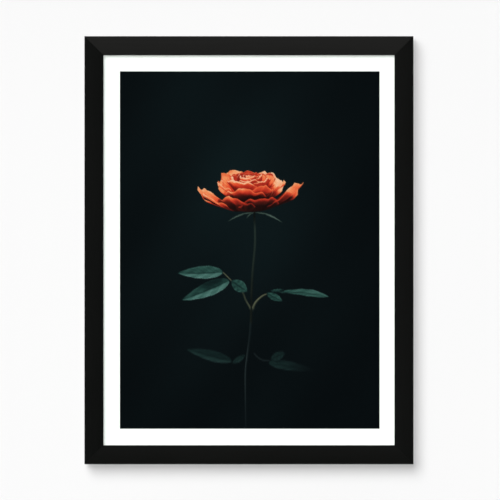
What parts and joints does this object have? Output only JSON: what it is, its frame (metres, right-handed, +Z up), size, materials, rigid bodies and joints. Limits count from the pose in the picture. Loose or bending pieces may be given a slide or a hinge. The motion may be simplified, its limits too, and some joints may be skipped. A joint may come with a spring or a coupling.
{
  "type": "framed art print",
  "caption": "Wall-hung framed art print: black mitred wooden frame, clear acrylic over a white-bordered picture of a rose on black, boards held in by turn buttons, sawtooth hanger.",
  "frame": {"origin": "the middle notch of the sawtooth hanger, halfway between its strip and the top rail, where the wall's nail bears", "axes": "+Z up the frame; -Y out of the print towards the viewer, so the wall is on the +Y side; +X to the viewer's right"},
  "size_m": [0.332, 0.0195, 0.432],
  "materials": {
    "frame_wood": "matt black stain with a thin lacquer",
    "glazing": "clear polished acrylic sheet",
    "print_paper": "matt coated paper, white margin round a near-black picture of an orange rose",
    "white_board": "smooth acid-free barrier board",
    "filler_card": "corrugated kraft card",
    "back_fibreboard": "smooth brown fibreboard",
    "zinc_steel": "bright zinc plate",
    "brassed_steel": "brass-plated steel",
    "bumper_rubber": "matt black rubber"
  },
  "bodies": {
    "frame": {"rail_top": "frame_wood", "rail_bottom": "frame_wood", "rail_right": "frame_wood", "rail_left": "frame_wood", "glazing": "glazing", "print": "print_paper", "barrier_board": "white_board", "filler_board": "filler_card", "back_board": "back_fibreboard", "v_nail_top_left_outer": "zinc_steel", "v_nail_top_left_inner": "zinc_steel", "v_nail_top_right_outer": "zinc_steel", "v_nail_top_right_inner": "zinc_steel", "v_nail_bottom_left_outer": "zinc_steel", "v_nail_bottom_left_inner": "zinc_steel", "v_nail_bottom_right_outer": "zinc_steel", "v_nail_bottom_right_inner": "zinc_steel", "screw_top_left": "zinc_steel", "screw_top_right": "zinc_steel", "screw_right_upper": "zinc_steel", "screw_right_lower": "zinc_steel", "screw_bottom_right": "zinc_steel", "screw_bottom_left": "zinc_steel", "screw_left_lower": "zinc_steel", "screw_left_upper": "zinc_steel", "sawtooth_hanger": "brassed_steel", "hanger_brad_left": "brassed_steel", "hanger_brad_right": "brassed_steel", "bumper_left": "bumper_rubber", "bumper_right": "bumper_rubber"},
    "button_top_left": {"turn_button_top_left": "zinc_steel"},
    "button_top_right": {"turn_button_top_right": "zinc_steel"},
    "button_right_upper": {"turn_button_right_upper": "zinc_steel"},
    "button_right_lower": {"turn_button_right_lower": "zinc_steel"},
    "button_bottom_right": {"turn_button_bottom_right": "zinc_steel"},
    "button_bottom_left": {"turn_button_bottom_left": "zinc_steel"},
    "button_left_lower": {"turn_button_left_lower": "zinc_steel"},
    "button_left_upper": {"turn_button_left_upper": "zinc_steel"}
  },
  "joints": [
    {"name": "turn_top_left", "type": "hinge", "parent": "frame", "child": "button_top_left", "pos_m": [-0.091, -0.00045, 0.0029], "axis": [0, 1, 0], "continuous": true},
    {"name": "turn_top_right", "type": "hinge", "parent": "frame", "child": "button_top_right", "pos_m": [0.091, -0.00045, 0.0029], "axis": [0, 1, 0], "continuous": true},
    {"name": "turn_right_upper", "type": "hinge", "parent": "frame", "child": "button_right_upper", "pos_m": [0.1585, -0.00045, -0.0646], "axis": [0, 1, 0], "continuous": true},
    {"name": "turn_right_lower", "type": "hinge", "parent": "frame", "child": "button_right_lower", "pos_m": [0.1585, -0.00045, -0.3466], "axis": [0, 1, 0], "continuous": true},
    {"name": "turn_bottom_right", "type": "hinge", "parent": "frame", "child": "button_bottom_right", "pos_m": [0.091, -0.00045, -0.4141], "axis": [0, 1, 0], "continuous": true},
    {"name": "turn_bottom_left", "type": "hinge", "parent": "frame", "child": "button_bottom_left", "pos_m": [-0.091, -0.00045, -0.4141], "axis": [0, 1, 0], "continuous": true},
    {"name": "turn_left_lower", "type": "hinge", "parent": "frame", "child": "button_left_lower", "pos_m": [-0.1585, -0.00045, -0.3466], "axis": [0, 1, 0], "continuous": true},
    {"name": "turn_left_upper", "type": "hinge", "parent": "frame", "child": "button_left_upper", "pos_m": [-0.1585, -0.00045, -0.0646], "axis": [0, 1, 0], "continuous": true}
  ]
}
